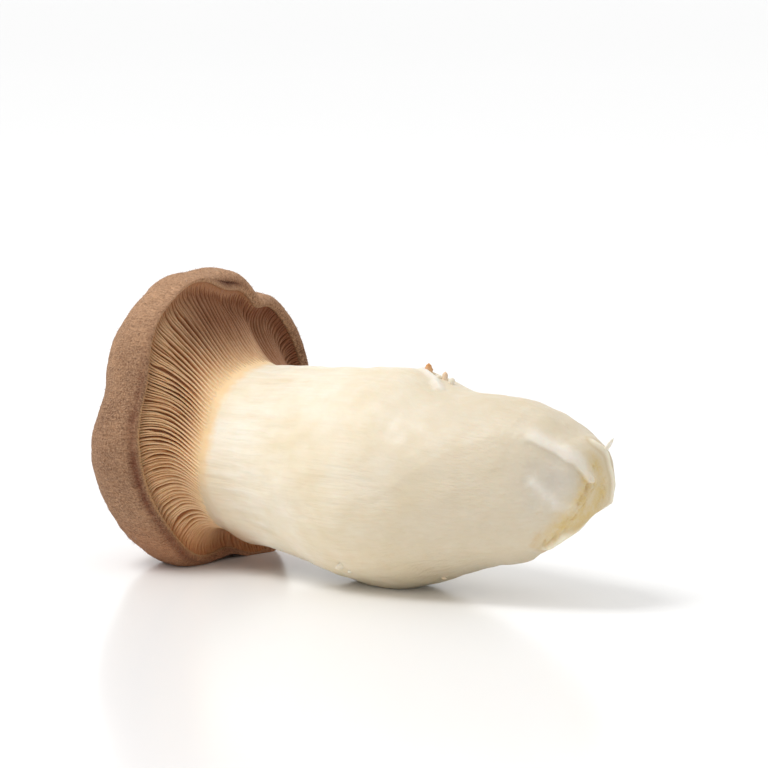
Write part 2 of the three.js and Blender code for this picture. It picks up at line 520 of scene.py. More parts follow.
settled = ease(stem_at, NECK_AT, NECK_AT + 10)
smooth = 1 - 0.8 * np.clip(facet + hump(to_lip, 0, 3), 0, 1)
patchy = ease(unevenness(stem_rings, 18, 6), -0.3, 0.5)
wrinkled = 0.06 + 0.3 * hump(stem_at, 48, 12) * turn_hump(TURNS, 296, 34)[None, :]
relief = 0.5 * settled * unevenness(stem_rings, 13, 3)
relief += wrinkled * settled * smooth * patchy * unevenness(stem_rings, 2.6, 4, stretch=7)
relief += 0.06 * unevenness(stem_rings, 1.0, 5) * ease(stem_at, 100, 112)
relief += 1.0 * hump(stem_at, 77, 7) * turn_hump(TURNS, 10, 24)[None, :]
relief += 0.55 * hump(to_chip, 0, 0.8) - 0.2 * hump(to_chip, 1.7, 0.8)

# The fold is a loose band of skin: it stands up to its lower edge, and drops to the facet there.
band = ease(to_under - to_fold, -0.5, 0.3) * hump(to_fold, 0, 2.0)
relief += 0.45 * band - 0.35 * hump(to_under, 0.4, 1.0) * ease(to_fold - to_under, -0.2, 0.6)
relief += 0.22 * hump(to_film, 0, 0.6) + 0.45 * hump(to_lip, 0, 0.8) - 0.25 * hump(to_stain, 0, 1.8)
relief += 0.25 * hump(to_crease, 0.9, 0.5) - 0.2 * hump(to_crease, 0, 0.5)
relief += 0.12 * hump(to_seam, 0.6, 0.4) - 0.2 * hump(to_seam, 0, 0.35)
relief += 0.12 * hump(to_spot, 0.9, 0.5)
stem_rings = stem_rings + stem_out * relief[..., None]

hidden_rings = skin_rings(np.array(FLESH_INSIDE, float), TURNS)
bed_share = np.vstack([np.zeros((len(hidden_rings), SIDES)), bed_run + np.zeros(SIDES)])
stem_share = 1 + (ring_walk - gills_end) / GILL_SPAN


def marked(values, far=0.0):
    """A note for the whole mesh that is nothing, or far away, on the gill bed."""
    return np.vstack([0 * bed_share + far, np.minimum(values, FAR)])


flesh_notes = {
    "run": np.vstack([bed_share, stem_share]),
    "along": np.vstack([0 * bed_share, stem_at]),
    "fold": marked(np.maximum(band, 0.9 * hump(to_film, 0, 1.3)) + 1.6 * hump(to_chip, 0, 1.1)),
    "crease": marked(to_crease, far=FAR),
    "seam": marked(to_seam, far=FAR),
    "spot": marked(to_spot, far=FAR),
    "stain": marked(np.clip(hump(to_stain, 0, 3.2) + hump(to_crease, 0, 2.0), 0, 1)),
    "facet": marked(facet),
    "lip": marked(hump(to_lip, 0, 1.0)),
    "inside_lip": marked(hump(to_lip, 1.7, 0.5)),
}
flesh = shell(
    "flesh",
    skin(FLESH_INSIDE[0][0], 0, 0),
    np.vstack([hidden_rings, bed_rings, stem_rings]),
    skin(LENGTH, 0, 0),
    flesh_notes,
)

# %% [markdown]
# ## Torn skin
#
# Where the mushroom was pulled from its neighbours, the skin stands up in small shreds: a group of browned
# and pale nubs on top behind the belly, chips underneath, and a sliver on the corner of the base. A shred
# is too small for the rings of the stem, so each is a closed sliver of its own, rooted below the surface.

# %% Shreds
SHREDS = [  # place on the skin, heading, length, width, lift, thickness, browned
    ((79.8, 23.4, 8), 300, 0.5, 2.1, 3.0, 0.85, 1.0),
    ((79.4, 23.4, 11), 330, 1.2, 2.2, 1.1, 0.6, 0.1),
    ((82.2, 22.8, 10), 300, 1.4, 1.6, 1.0, 0.6, 0.0),
    ((83.9, 22.5, 10), 290, 0.4, 1.5, 2.4, 0.65, 0.5),
    ((86.2, 21.9, 8), 320, 0.7, 1.7, 1.9, 0.5, 0.0),
    ((71.6, 23.6, 222), 160, 1.8, 2.4, 1.7, 0.4, 0.0),
    ((73.0, 23.6, 218), 170, 1.2, 1.6, 1.1, 0.4, 0.0),
    ((90, 20.6, 193), 40, 1.0, 1.6, 1.3, 0.35, 0.3),
    ((125.2, 8.6, 36), 10, 1.4, 1.6, 3.3, 0.3, 0.0),
]
rng = np.random.default_rng(11)


def shred(place, heading, length, width, lift, thickness):
    """The rings of one closed sliver; heading 0 points to the base, 90 round the stem."""
    at, radius, turn = place
    root = skin(at, radius, turn)
    ahead = skin(at + 0.5, radius, turn) - root
    aside = skin(at, radius, turn + 1) - root
    ahead, aside = ahead / np.linalg.norm(ahead), aside / np.linalg.norm(aside)
    out = np.cross(ahead, aside)
    forward = math.cos(math.radians(heading)) * ahead + math.sin(math.radians(heading)) * aside
    wide = np.cross(out, forward)
    rings = []
    for s in np.linspace(0, 1, 9):
        spine = root + forward * length * s + out * (lift * s**1.3 - 0.5)
        half = width / 2 * (1 - s**3.5) ** 0.5 * rng.uniform(0.85, 1.1) + 0.03
        thick = thickness * (1 - s**4) ** 0.5 + 0.03
        lean = forward * lift - out * length
        lean = lean / np.linalg.norm(lean)
        angles = np.radians(np.arange(0, 360, 45))[:, None]
        rings.append(spine + np.cos(angles) * half * wide + np.sin(angles) * thick * lean)
    return np.array(rings)


def shred_mesh():
    points, faces, browned = [], [], []
    for *form, brown in SHREDS:
        rings = shred(*form)
        count, sides = rings.shape[:2]
        start = len(points)
        points.extend(rings.reshape(-1, 3))
        browned.extend(np.repeat(brown * np.linspace(0.3, 1, count), sides))
        for ring in range(count - 1):
            for side in range(sides):
                a, b = start + ring * sides + side, start + ring * sides + (side + 1) % sides
                faces.append((a, b, b + sides, a + sides))
        faces.append([start + side for side in reversed(range(sides))])
        faces.append([start + (count - 1) * sides + side for side in range(sides)])
    mesh = bpy.data.meshes.new("torn_skin")
    mesh.from_pydata(to_frame(points).tolist(), [], faces)
    mesh.attributes.new("browned", "FLOAT", "POINT").data.foreach_set("value", np.array(browned))
    mesh.shade_smooth()
    return mesh


torn = add_object("torn_skin", shred_mesh())
print(f"torn skin: {len(SHREDS)} shreds, {len(torn.data.polygons)} faces")

# %% [markdown]
# ## Node helpers
#
# Geometry Nodes and shaders are both built from small nodes. `node` adds one node and fills its sockets
# with plain values or with the outputs of other nodes. `calc` does the same for a sum, and `plus`,
# `minus` and `times` are its commonest kinds.

# %% Node helpers
def node(tree, kind, inputs=(), **settings):
    """Adds a node; inputs maps a socket's name or number to a value or to another node's output."""
    made = tree.nodes.new(kind)
    for name, value in settings.items():
        setattr(made, name, value)
    for key, value in dict(inputs).items():
        if isinstance(value, bpy.types.NodeSocket):
            tree.links.new(value, made.inputs[key])
        else:
            made.inputs[key].default_value = value
    return made


def calc(tree, operation, *values):
    return node(tree, "ShaderNodeMath", enumerate(values), operation=operation).outputs[0]


def plus(tree, first, second):
    return calc(tree, "ADD", first, second)


def minus(tree, first, second):
    return calc(tree, "SUBTRACT", first, second)


def times(tree, first, second):
    return calc(tree, "MULTIPLY", first, second)


# %% [markdown]
# ## The gills
#
# Two hundred and eighty blades stand in the hollow. Every second one runs all the way to the stem.
# The ones between start at the margin and lean over to merge with a neighbour on the way. Placing each
# blade by hand is hopeless, and an array modifier can't follow the lobes of the rim, so Geometry Nodes
# make them: a thin box is repeated, and each of its points is then looked up on a guide surface.
#
# The guide is a sheet that covers the hollow. Its UV map says how far round and how far down the hollow
# each place is, its points lie on the edges of the gills, and the attribute `root` says where the same
# gill meets the flesh. Sample UV Surface finds both places for any point of any blade.

# %% Guide for the gills
GUIDE_ROWS, GUIDE_COLUMNS = 42, 385
RUN_START, RUN_END = -0.03, 1.2
TURN_START, TURN_END = -12.0, 372.0
guide_run = np.linspace(RUN_START, RUN_END, GUIDE_ROWS)[:, None]
guide_turns = np.linspace(TURN_START, TURN_END, GUIDE_COLUMNS)[None, :]
guide_rings = hollow(guide_run, guide_turns)
guide_out = np.cross(np.gradient(guide_rings, axis=0), np.gradient(guide_rings, axis=1))
guide_out /= np.linalg.norm(guide_out, axis=-1, keepdims=True)
lift = 0.16 - 0.4 * ease(guide_run, 0.9, 1.16) - 0.3 * (1 - ease(guide_run, 0, 0.06))
lift = lift - 0.3 * turn_hump(guide_turns, 358, 26) * (1 - ease(guide_run, 0.02, 0.26))
edges = to_frame(guide_rings + guide_out * lift[..., None])
roots = to_frame(guide_rings - guide_out * (bed_depth(guide_run, guide_turns) + 0.35)[..., None])

row, column = np.meshgrid(np.arange(GUIDE_ROWS - 1), np.arange(GUIDE_COLUMNS - 1), indexing="ij")
corner = row * GUIDE_COLUMNS + column
quads = np.stack([corner, corner + GUIDE_COLUMNS, corner + GUIDE_COLUMNS + 1, corner + 1], -1)
sheet = bpy.data.meshes.new("gills")
sheet.from_pydata(edges.reshape(-1, 3).tolist(), [], quads.reshape(-1, 4).tolist())
sheet.attributes.new("root", "FLOAT_VECTOR", "POINT").data.foreach_set("vector", roots.ravel())
share_turn, share_run = np.meshgrid(np.linspace(0, 1, GUIDE_COLUMNS), np.linspace(0, 1, GUIDE_ROWS))
uv = np.stack([share_turn, share_run], -1).reshape(-1, 2)
loop_points = np.zeros(len(sheet.loops), int)
sheet.loops.foreach_get("vertex_index", loop_points)
sheet.uv_layers.new(name="hollow").data.foreach_set("uv", uv[loop_points].ravel())
gills = add_object("gills", sheet)
print(f"the guide is {GUIDE_ROWS} by {GUIDE_COLUMNS} points")

# %% [markdown]
# The tree below has named inputs for the number of blades and their sizes, and one seed. `random` is a
# fixed number for each blade: it varies where a blade ends, which neighbour it leans on and how tall it
# stands. The first four helpers serve any Geometry Nodes tree.

# %% Gill tree
BLADES = 280


def geometry_tree(name, sockets):
    """A Geometry Nodes tree that takes geometry and these named inputs, and gives geometry."""
    tree = bpy.data.node_groups.new(name, "GeometryNodeTree")
    for way in ("INPUT", "OUTPUT"):
        tree.interface.new_socket(name="Geometry", in_out=way, socket_type="NodeSocketGeometry")
    for socket, (kind, value) in sockets.items():
        made = tree.interface.new_socket(name=socket, in_out="INPUT", socket_type="NodeSocket" + kind)
        if value is not None:
            made.default_value = value
    return tree, tree.nodes.new("NodeGroupInput").outputs


def read(tree, name, kind="FLOAT"):
    return node(tree, "GeometryNodeInputNamedAttribute", {"Name": name}, data_type=kind).outputs[0]


def stored(tree, geometry, name, value, kind="FLOAT"):
    """The geometry, with a value kept on its points under a name."""
    fill = {"Geometry": geometry, "Name": name, "Value": value}
    return node(tree, "GeometryNodeStoreNamedAttribute", fill, data_type=kind, domain="POINT").outputs[0]


def give(tree, geometry, material):
    """Ends a tree: the geometry is made real, gets its material and goes out."""
    real = node(tree, "GeometryNodeRealizeInstances", {"Geometry": geometry}).outputs[0]
    painted = node(tree, "GeometryNodeSetMaterial", {"Geometry": real, "Material": material})
    node(tree, "NodeGroupOutput", {"Geometry": painted.outputs[0]})


def gill_tree():
    sockets = {
        "Blades": ("Int", BLADES),
        "Stations": ("Int", 34),
        "Root Thickness": ("Float", 0.55),
        "Edge Thickness": ("Float", 0.37),
        "Spacing Jitter": ("Float", 0.22),
        "Wander": ("Float", 3.6),
        "Seed": ("Int", 7),
        "Material": ("Material", None),
    }
    tree, given = geometry_tree("gill_blades", sockets)
    blades = given["Blades"]

    def random(lowest, highest, salt):
        fill = {"ID": number, "Seed": plus(tree, given["Seed"], salt), 2: lowest, 3: highest}
        return node(tree, "FunctionNodeRandomValue", fill, data_type="FLOAT").outputs[1]

    # One box for each blade: X runs from margin to stem, Y across it, Z from root to edge.
    starts = node(tree, "GeometryNodeMeshLine", {"Count": blades, "Offset": (0, 0, 0)})
    index = node(tree, "GeometryNodeInputIndex").outputs[0]
    numbered = stored(tree, starts.outputs[0], "blade", index, "INT")
    box = node(
        tree,
        "GeometryNodeMeshCube",
        {"Size": (1, 1, 1), "Vertices X": given["Stations"], "Vertices Y": 2, "Vertices Z": 5},
    )
    copies = node(
        tree, "GeometryNodeInstanceOnPoints", {"Points": numbered, "Instance": box.outputs["Mesh"]}
    )
    real = node(tree, "GeometryNodeRealizeInstances", {"Geometry": copies.outputs[0]})

    number = read(tree, "blade", "INT")
    position = node(tree, "GeometryNodeInputPosition").outputs[0]
    place = node(tree, "ShaderNodeSeparateXYZ", {0: position}).outputs
    walk = plus(tree, place["X"], 0.5)
    across = times(tree, place["Y"], 2)
    height = minus(tree, 1, calc(tree, "POWER", minus(tree, 0.5, place["Z"]), 1.8))

    # Every second blade is short, and leans on a neighbour as it ends.
    short = calc(tree, "MODULO", number, 2)
    full_end = random(0.98, 1.14, 1)
    short_end = random(0.3, 0.95, 2)
    end = plus(tree, full_end, times(tree, short, minus(tree, short_end, full_end)))
    start = random(0.0, 0.015, 3)
    run = plus(tree, start, times(tree, walk, minus(tree, end, start)))
    spacing = calc(tree, "DIVIDE", 360, blades)
    side = minus(tree, times(tree, 2, calc(tree, "GREATER_THAN", random(0, 1, 4), 0.5)), 1)
    lean = times(tree, times(tree, side, short), calc(tree, "POWER", walk, 2.5))
    jitter = times(tree, random(-1, 1, 5), given["Spacing Jitter"])
    turn = times(tree, spacing, plus(tree, number, plus(tree, jitter, lean)))

    # Neighbours wander together, because the noise changes slowly round the cap.
    angle = calc(tree, "RADIANS", turn)
    where = node(
        tree,
        "ShaderNodeCombineXYZ",
        {"X": calc(tree, "COSINE", angle), "Y": calc(tree, "SINE", angle), "Z": times(tree, run, 0.5)},
    )
    drift = node(tree, "ShaderNodeTexNoise", {"Vector": where.outputs[0], "Scale": 3.2, "Detail": 2.0})
    sway = times(tree, minus(tree, drift.outputs[0], 0.5), given["Wander"])
    turn = plus(tree, turn, sway)

    # Thickness, in degrees round the cap: it grows down the stem, where there is more room for each
    # blade, and it is rounded off at the edge and brought to a point where the blade ends.
    slimmer = minus(tree, given["Edge Thickness"], given["Root Thickness"])
    thick = plus(tree, given["Root Thickness"], times(tree, height, slimmer))
    thick = times(tree, thick, plus(tree, 1, times(tree, run, 0.85)))
    over = calc(tree, "DIVIDE", calc(tree, "MAXIMUM", minus(tree, height, 0.6), 0), 0.42)
    rounding = calc(tree, "SQRT", minus(tree, 1, times(tree, over, over)))
    point = calc(tree, "MINIMUM", times(tree, minus(tree, 1, walk), 8), 1)
    half = times(tree, times(tree, thick, rounding), point)
    turn = plus(tree, turn, times(tree, across, half))

    # Height: short blades stand lower and sink into the bed where they merge.
    tall = minus(tree, random(0.9, 1.0, 6), times(tree, short, random(0.03, 0.25, 7)))
    sink = times(tree, short, times(tree, 0.5, calc(tree, "POWER", walk, 4)))
    raised = times(tree, height, minus(tree, tall, sink))

    share_round = calc(tree, "DIVIDE", minus(tree, turn, TURN_START), TURN_END - TURN_START)
    share_down = calc(tree, "DIVIDE", minus(tree, run, RUN_START), RUN_END - RUN_START)
    target = node(tree, "ShaderNodeCombineXYZ", {"X": share_round, "Y": share_down}).outputs[0]
    uv_map = read(tree, "hollow", "FLOAT_VECTOR")

    def looked_up(value):
        fill = {"Mesh": given["Geometry"], "Value": value, "Source UV Map": uv_map, "Sample UV": target}
        return node(tree, "GeometryNodeSampleUVSurface", fill, data_type="FLOAT_VECTOR").outputs[0]

    edge, root = looked_up(position), looked_up(read(tree, "root", "FLOAT_VECTOR"))
    placed = node(tree, "ShaderNodeMix", {0: raised, 4: root, 5: edge}, data_type="VECTOR")
    shape = stored(tree, real.outputs[0], "gill_height", raised)
    shape = stored(tree, shape, "gill_run", run)
    moved = node(tree, "GeometryNodeSetPosition", {"Geometry": shape, "Position": placed.outputs[1]})
    smooth = node(tree, "GeometryNodeSetShadeSmooth", {0: moved.outputs[0]})
    give(tree, smooth.outputs[0], given["Material"])
    return tree


blade_tree = gill_tree()
print("the gill tree has", len(blade_tree.nodes), "nodes")

# %% [markdown]
# ## Colours and shared shader effects
#
# Colours are written as they look on a screen, 0 to 255, and turned into the linear values that the
# renderer adds up. Two effects serve more than one kind of flesh, so each is a node group, built once.
# `mottle` is cloudy variation at a broad and a fine scale. `fibres` is noise drawn out along the
# mushroom, because all of its flesh is made of threads that run from the base to the cap.

# %% Shared shader groups
def screen(red, green, blue):
    """A screen colour, 0 to 255, as linear RGBA."""
    shares = [value / 255 for value in (red, green, blue)]
    return [s / 12.92 if s <= 0.04045 else ((s + 0.055) / 1.055) ** 2.4 for s in shares] + [1]


def shader_group(name, inputs, outputs):
    group = bpy.data.node_groups.new(name, "ShaderNodeTree")
    for socket, value in inputs.items():
        made = group.interface.new_socket(name=socket, in_out="INPUT", socket_type="NodeSocketFloat")
        made.default_value = value
    for socket in outputs:
        group.interface.new_socket(name=socket, in_out="OUTPUT", socket_type="NodeSocketFloat")
    return group, group.nodes.new("NodeGroupInput").outputs, group.nodes.new("NodeGroupOutput").inputs


def mottle_group():
    group, given, results = shader_group("mottle", {"Broad mm": 9, "Fine mm": 0.8}, ["Broad", "Fine"])
    place = node(group, "ShaderNodeTexCoord").outputs["Object"]
    for size, result in (("Broad mm", "Broad"), ("Fine mm", "Fine")):
        scale = calc(group, "DIVIDE", 1 / MM, given[size])
        cloud = node(group, "ShaderNodeTexNoise", {"Vector": place, "Scale": scale, "Detail": 3})
        spread = node(group, "ShaderNodeMapRange", {0: cloud.outputs[0], 1: 0.3, 2: 0.7})
        group.links.new(spread.outputs[0], results[result])
    return group


def fibre_group():
    group, given, results = shader_group("fibres", {"Width mm": 0.5, "Stretch": 14}, ["Fibres"])
    place = node(group, "ShaderNodeTexCoord").outputs["Object"]
    across = calc(group, "DIVIDE", 1 / MM, given["Width mm"])
    lengthwise = calc(group, "DIVIDE", across, given["Stretch"])
    scale = node(group, "ShaderNodeCombineXYZ", {"X": lengthwise, "Y": across, "Z": across})
    drawn = node(
        group, "ShaderNodeVectorMath", {0: place, 1: scale.outputs[0]}, operation="MULTIPLY"
    )
    grain = node(group, "ShaderNodeTexNoise", {"Vector": drawn.outputs[0], "Scale": 1, "Detail": 3})
    spread = node(group, "ShaderNodeMapRange", {0: grain.outputs[0], 1: 0.3, 2: 0.7})
    group.links.new(spread.outputs[0], results["Fibres"])
    return group


MOTTLE, FIBRES = mottle_group(), fibre_group()


def effect(tree, group, **inputs):
    """Places a shared group; a socket's name has its spaces as underscores here."""
    made = node(tree, "ShaderNodeGroup", node_tree=group)
    for name, value in inputs.items():
        made.inputs[name.replace("_", " ")].default_value = value
    return made.outputs


def mixed(tree, share, first, second):
    return node(tree, "ShaderNodeMix", {0: share, 6: first, 7: second}, data_type="RGBA").outputs[2]


def coats(tree, colour, *layers):
    """Colours laid over a colour, each as (where it lies, how strongly, screen colour)."""
    for share, strength, shade in layers:
        colour = mixed(tree, times(tree, share, strength), colour, screen(*shade))
    return colour


def mixed_value(tree, share, first, second):
    return node(tree, "ShaderNodeMix", {0: share, 2: first, 3: second}, data_type="FLOAT").outputs[0]


def graded(tree, value, start, end, first=0.0, last=1.0):
    """Climbs from first to last while the value goes from start to end, as `ease` does."""
    fill = {0: value, 1: start, 2: end, 3: first, 4: last}
    return node(tree, "ShaderNodeMapRange", fill, interpolation_type="SMOOTHSTEP").outputs[0]


def sides_of(tree):
    """X, Y and Z of the place that is being shaded."""
    place = node(tree, "ShaderNodeTexCoord").outputs["Object"]
    return node(tree, "ShaderNodeSeparateXYZ", {0: place}).outputs


def by_height(tree, start, end, first=0.0, last=1.0):
    """Graded by millimetres above the table."""
    return graded(tree, sides_of(tree)["Z"], low.z + start * MM, low.z + end * MM, first, last)


def noted(tree, name):
    """A number that the mesh carries on its points."""
    return node(tree, "ShaderNodeAttribute", attribute_name=name).outputs["Fac"]


def finish_for(name, **constants):
    """A material with one Principled shader, whose plain sockets are set by name."""
    material = bpy.data.materials.new(name)
    material.use_nodes = True
    shader = material.node_tree.nodes["Principled BSDF"]
    for socket, value in constants.items():
        shader.inputs[socket.replace("_", " ")].default_value = value
    return material, material.node_tree, shader


def dress(tree, shader, colour, roughness, height, distance):
    """Joins a colour, a roughness and a bump height to the shader."""
    bump = node(tree, "ShaderNodeBump", {"Height": height, "Distance": distance * MM})
    tree.links.new(colour, shader.inputs["Base Color"])
    tree.links.new(roughness, shader.inputs["Roughness"])
    tree.links.new(bump.outputs[0], shader.inputs["Normal"])


print("shared groups:", MOTTLE.name, "and", FIBRES.name)

# %% [markdown]
# ## Cap skin
#
# The skin of the cap is dry felt: fine, flattened hairs that scatter light, so it looks soft and a
# little paler at a glancing angle. Sheen gives that bloom. The colour varies in broad clouds, in streaks
# and finer strands that point to the margin, and in a grain of less than a millimetre. The crown is darker
# than the upper rim, which has a painted highlight where the lamp falls on it, and the underside is
# warmer.
# Near the margin the groove is painted dark, partly a bruise and partly painted shade in its hollow, the
# thin lip beyond it is pale, and the slit is a warm dark brown, partly painted shade inside the crack.

# %% Felt
STREAKS = 26  # how finely the hairs are combed round the cap
CAP_MIDDLE_Z = 31  # millimetres above the table, where the streaks would meet


def cap_material():
    material, tree, shader = finish_for(
        "cap_felt",
        Sheen_Weight=0.25,
        Sheen_Roughness=0.5,
        Sheen_Tint=screen(235, 200, 170),
        Specular_IOR_Level=0.2,
    )
    clouds = effect(tree, MOTTLE, Broad_mm=10.0, Fine_mm=3.0)
    grain = effect(tree, MOTTLE, Broad_mm=1.1, Fine_mm=0.45)
    to_margin = noted(tree, "to_margin")

    # Hairs lie in streaks that point to the margin. They are noise on a tube: two sockets of the
    # vector go round the cap, and the third goes from the crown to the margin.
    sides = sides_of(tree)
    aside = minus(tree, sides["Y"], MIDDLE_Y)
    above = minus(tree, sides["Z"], low.z + CAP_MIDDLE_Z * MM)
    spoke = node(tree, "ShaderNodeCombineXYZ", {"X": aside, "Y": above}).outputs[0]
    round_it = node(tree, "ShaderNodeVectorMath", {0: spoke}, operation="NORMALIZE").outputs[0]
    reach = node(tree, "ShaderNodeVectorMath", {0: spoke}, operation="LENGTH").outputs["Value"]
    off_crown = graded(tree, reach, 4 * MM, 16 * MM)
    ways = node(tree, "ShaderNodeSeparateXYZ", {0: round_it}).outputs
    tube = node(
        tree,
        "ShaderNodeCombineXYZ",
        {
            "X": times(tree, ways["X"], STREAKS),
            "Y": times(tree, ways["Y"], STREAKS),
            "Z": times(tree, to_margin, 0.16),
        },
    ).outputs[0]

    def combed(scale, detail, spread):
        """Noise on the tube, which fades to its mean at the crown."""
        hairs = node(tree, "ShaderNodeTexNoise", {"Vector": tube, "Scale": scale, "Detail": detail})
        sharp = graded(tree, hairs.outputs[0], 0.5 - spread, 0.5 + spread)
        return mixed_value(tree, off_crown, 0.5, sharp)

    streaks, strands = combed(1, 3, 0.15), combed(3.6, 2, 0.12)
    bruise_and_groove_shade = times(tree, noted(tree, "bruise_and_groove_shade"), graded(tree, clouds["Fine"], 0, 1, 0.6, 1))
    colour = coats(
        tree,
        mixed(tree, clouds["Broad"], screen(130, 88, 57), screen(196, 148, 108)),
        (clouds["Fine"], 0.5, (116, 76, 49)),
        (streaks, 0.5, (108, 68, 43)),
        # Painted highlight: the top of the rim is lighter where the lamp falls on it.
        (by_height(tree, 46, 62), 0.75, (218, 170, 132)),
        (graded(tree, to_margin, 44, 70), 0.3, (112, 74, 50)),
        (grain["Broad"], 0.25, (94, 60, 39)),
        (strands, 0.36, (104, 64, 42)),
        (grain["Fine"], 0.6, (226, 182, 146)),
        (by_height(tree, 14, 2), 0.45, (190, 122, 80)),
        # Painted shade in the groove by the margin, together with the bruise in the skin there.
        (bruise_and_groove_shade, 0.75, (108, 52, 32)),
        (noted(tree, "pale_edge"), 1, (206, 162, 114)),
        # The slit is painted a warm dark brown: partly the raw skin in it, partly painted shade inside the
        # crack.
        (noted(tree, "crease"), 1.5, (90, 34, 14)),
    )
    height = plus(tree, grain["Fine"], times(tree, grain["Broad"], -1.2))
    height = minus(tree, height, times(tree, streaks, 0.5))
    height = minus(tree, height, times(tree, strands, 0.9))
    dress(tree, shader, colour, graded(tree, grain["Fine"], 0, 1, 0.8, 0.95), height, 0.25)
    return material


felt = cap_material()
print("made", felt.name)

# %% [markdown]
# ## Flesh
#
# Under the skin of the stem the flesh is waxy and white, and light goes some way into it. That is what
# subsurface scattering is for: without it the stem looks like plaster. The same mesh is also the bed
# between the gills, which is brown in the middle of the hollow, partly its own colour and partly painted
# shade between the blades, and peach where the gills run out. Low down, where less light reaches it, the
# neck is painted a deeper brown: painted shade, strongest under the neck.

# %% White flesh
def flesh_material():
    material, tree, shader = finish_for(
        "white_flesh",
        Subsurface_Weight=0.3,
        Subsurface_Radius=(1.0, 0.6, 0.4),
        Subsurface_Scale=2.5 * MM,
        Specular_IOR_Level=0.35,
    )
    clouds = effect(tree, MOTTLE, Broad_mm=16.0, Fine_mm=4.0)
    patches = effect(tree, MOTTLE, Broad_mm=24.0, Fine_mm=1.0)["Broad"]
    threads = effect(tree, FIBRES, Width_mm=0.8, Stretch=16)["Fibres"]
    threads = times(tree, threads, graded(tree, patches, 0.2, 0.9, 0.25, 1))
    run, along = noted(tree, "run"), noted(tree, "along")
    # Lengthwise wrinkles near the neck: they raise the bump, and their ridges are painted lighter as
    # highlights.
    creased = effect(tree, FIBRES, Width_mm=2.2, Stretch=8)["Fibres"]
    neck_wrinkles_and_highlights = times(tree, graded(tree, along, 66, 46), creased)

    # The marks are kept as distances from their lines, and noise frays them finer than the mesh can.
    fraying = effect(tree, MOTTLE, Broad_mm=1.6, Fine_mm=0.35)
    fray = mixed_value(tree, 0.35, fraying["Broad"], fraying["Fine"])
    stain = times(tree, noted(tree, "stain"), graded(tree, fray, 0.1, 0.9, 1, 0.55))
    to_spot = plus(tree, noted(tree, "spot"), fray)
    half_fray = times(tree, fray, 0.6)
    to_crease, to_seam = (plus(tree, noted(tree, line), half_fray) for line in ("crease", "seam"))
    # Painted shade: the low side of the neck is darkened, and browner still right under it.
    painted_shade_low_neck = times(tree, by_height(tree, 32, 10), graded(tree, run, 2.1, 1.1))
    painted_shade_under_neck = times(tree, by_height(tree, 13, 6.5), graded(tree, run, 2.0, 1.2))
    colour = coats(
        tree,
        mixed(tree, clouds["Broad"], screen(243, 234, 216), screen(233, 219, 190)),
        (threads, 0.36, (218, 201, 170)),
        (clouds["Fine"], 0.12, (218, 190, 144)),
        # Painted highlights on the wrinkles near the neck.
        (neck_wrinkles_and_highlights, 0.45, (251, 245, 232)),
        # Darker towards the base: partly greyer flesh, partly painted shade where the lamp's light falls
        # off.
        (graded(tree, along, 60, 105), 0.6, (202, 188, 163)),
        (noted(tree, "facet"), 0.7, (200, 193, 182)),
        (stain, 1, (210, 184, 124)),
        (graded(tree, to_spot, 2.0, 0.3), 0.6, (206, 172, 112)),
        (graded(tree, to_crease, 0.9, 0.1), 0.55, (186, 142, 84)),
        (graded(tree, to_seam, 0.7, 0.1), 0.5, (186, 142, 84)),
        (noted(tree, "fold"), 0.6, (240, 235, 226)),
        (noted(tree, "inside_lip"), 0.45, (196, 172, 122)),
        (noted(tree, "lip"), 0.95, (244, 236, 214)),
        # Painted shade low on the neck and under it.
        (painted_shade_low_neck, 0.55, (214, 190, 156)),
        (painted_shade_under_neck, 0.85, (164, 114, 70)),
    )
    # The peach is duller low down: painted shade on the lower side of the neck.
    peach = mixed(tree, by_height(tree, 14, 30), screen(222, 202, 170), screen(242, 206, 156))
    uneven_run = plus(tree, run, times(tree, fraying["Broad"], 0.06))
    colour = mixed(tree, graded(tree, uneven_run, 1.22, 1.0), colour, peach)
    colour = coats(
        tree,
        colour,
        # The bed's brown is partly its own colour and partly painted shade between the gills.
        (graded(tree, run, 0.98, 0.6), 1, (176, 118, 74)),
        (graded(tree, run, 0.3, 0.1), 1, (164, 112, 74)),
    )
    threads_height = times(tree, threads, 0.5)
    height = plus(tree, threads_height, times(tree, clouds["Fine"], 0.5))
    height = plus(tree, height, times(tree, neck_wrinkles_and_highlights, 1.2))
    dress(tree, shader, colour, graded(tree, clouds["Fine"], 0, 1, 0.42, 0.6), height, 0.2)
    return material


white = flesh_material()
print("made", white.name)

# %% [markdown]
# ## Gill flesh
#
# A gill is well under a millimetre thick, so light gets into it. Its edge is pale and its sides are
# painted darker towards the root as shade between the blades, more so in the middle of its run than near
# the stem.
# The gills are darker by the margin, painted shade darkens them on the far side and high under the rim,
# and they are a little warmer near the table.

